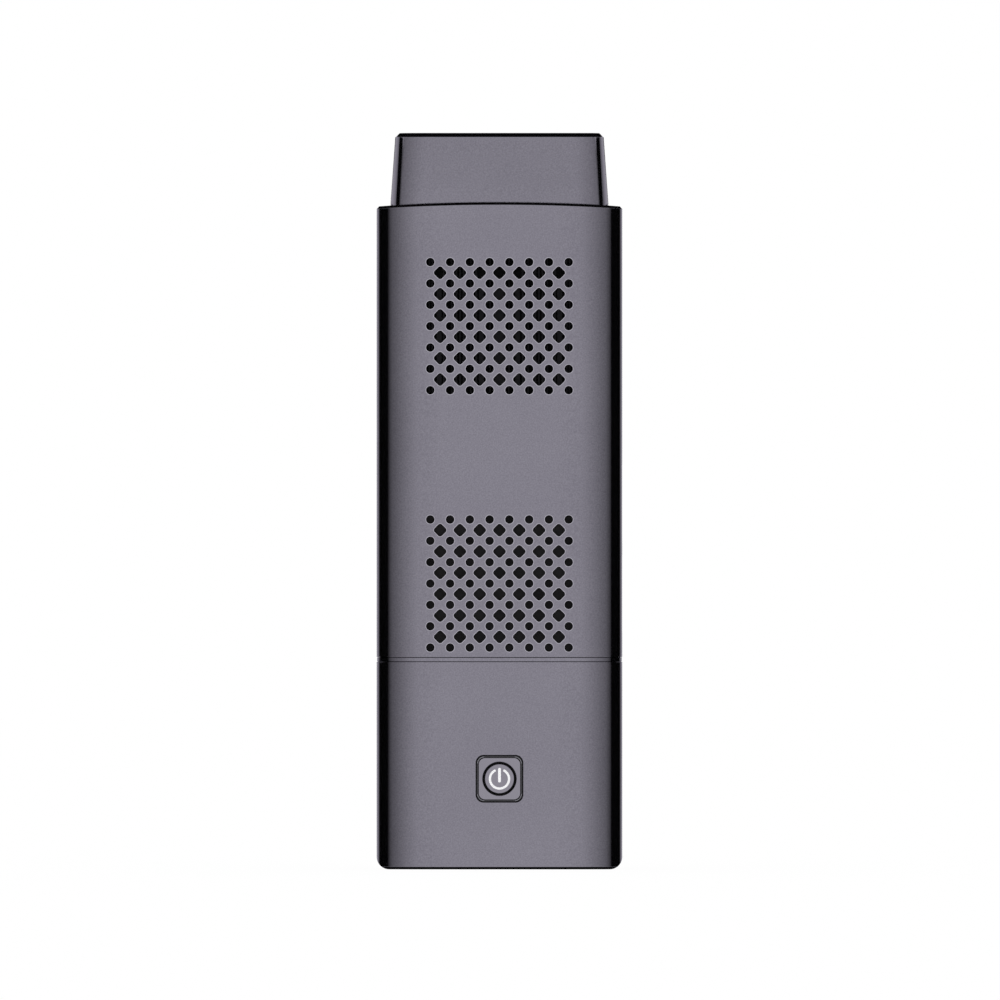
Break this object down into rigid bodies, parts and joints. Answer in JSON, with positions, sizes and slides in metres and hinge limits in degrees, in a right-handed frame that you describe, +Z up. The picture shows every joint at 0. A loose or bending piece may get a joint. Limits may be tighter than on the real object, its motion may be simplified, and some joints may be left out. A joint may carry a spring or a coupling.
{
  "type": "stick computer",
  "caption": "Slim stick computer that plugs into a screen: vented two-part housing with a tail cover, a pull-off cap over the video plug, side ports and a press button.",
  "frame": {"origin": "middle of the flat base that the stick stands on", "axes": "+Z up the length of the stick to the capped plug, +X across its width to the data ports, -Y out of the vented face"},
  "size_m": [0.04, 0.014, 0.12],
  "materials": {
    "painted_abs": "moulded, metallic grey paint, satin",
    "black_plastic": "moulded, fine matte",
    "blue_plastic": "moulded, satin",
    "pale_plastic": "moulded, satin",
    "board_laminate": "solder mask, satin",
    "module_laminate": "solder mask, satin",
    "chip_epoxy": "moulded epoxy, matte",
    "thermal_silicone": "soft, matte",
    "black_anodised_aluminium": "black anodised",
    "brass": "turned",
    "zinc_plated_steel": "zinc plated",
    "black_steel": "black plated",
    "ferrite": "pressed powder, matte",
    "ceramic": "fired, matte",
    "tinned_steel": "tinned",
    "polyester_film": "black film, satin",
    "nickel_plated_steel": "nickel plated",
    "gold_plated_contacts": "gold plated"
  },
  "bodies": {
    "case": {"front_cover": "painted_abs", "rear_cover": "painted_abs", "tail_cover": "painted_abs", "button_bezel": "painted_abs", "end_plate": "black_plastic", "switch_body": "black_plastic", "plug_insulator": "black_plastic", "lower_port_tongue": "black_plastic", "inlet_tongue": "black_plastic", "card_base": "black_plastic", "upper_port_tongue": "blue_plastic", "main_board": "board_laminate", "wifi_module": "module_laminate", "processor": "chip_epoxy", "memory_chips": "chip_epoxy", "storage_chip": "chip_epoxy", "power_chip": "chip_epoxy", "thermal_pad": "thermal_silicone", "heat_sink": "black_anodised_aluminium", "heat_sink_standoffs": "brass", "heat_sink_screws": "zinc_plated_steel", "case_screws": "black_steel", "power_coils": "ferrite", "capacitors": "ceramic", "antenna": "ceramic", "crystal": "tinned_steel", "wifi_shield": "tinned_steel", "insulating_film": "polyester_film", "plug_shell": "nickel_plated_steel", "upper_port_shell": "nickel_plated_steel", "lower_port_shell": "nickel_plated_steel", "inlet_shell": "nickel_plated_steel", "card_shell": "nickel_plated_steel", "plug_contacts": "gold_plated_contacts", "upper_port_contacts": "gold_plated_contacts", "lower_port_contacts": "gold_plated_contacts", "inlet_contacts": "gold_plated_contacts", "card_contacts": "gold_plated_contacts"},
    "cap": {"plug_cap": "painted_abs"},
    "button": {"power_button": "painted_abs", "switch_plunger": "pale_plastic"}
  },
  "joints": [
    {"name": "cap_pull", "type": "slide", "parent": "case", "child": "cap", "axis": [0, 0, 1], "range_m": [0, 0.016]},
    {"name": "button_press", "type": "slide", "parent": "case", "child": "button", "axis": [0, 1, 0], "range_m": [0, 0.0003], "stiffness_N_per_m": 400, "springref_m": -0.0005}
  ]
}
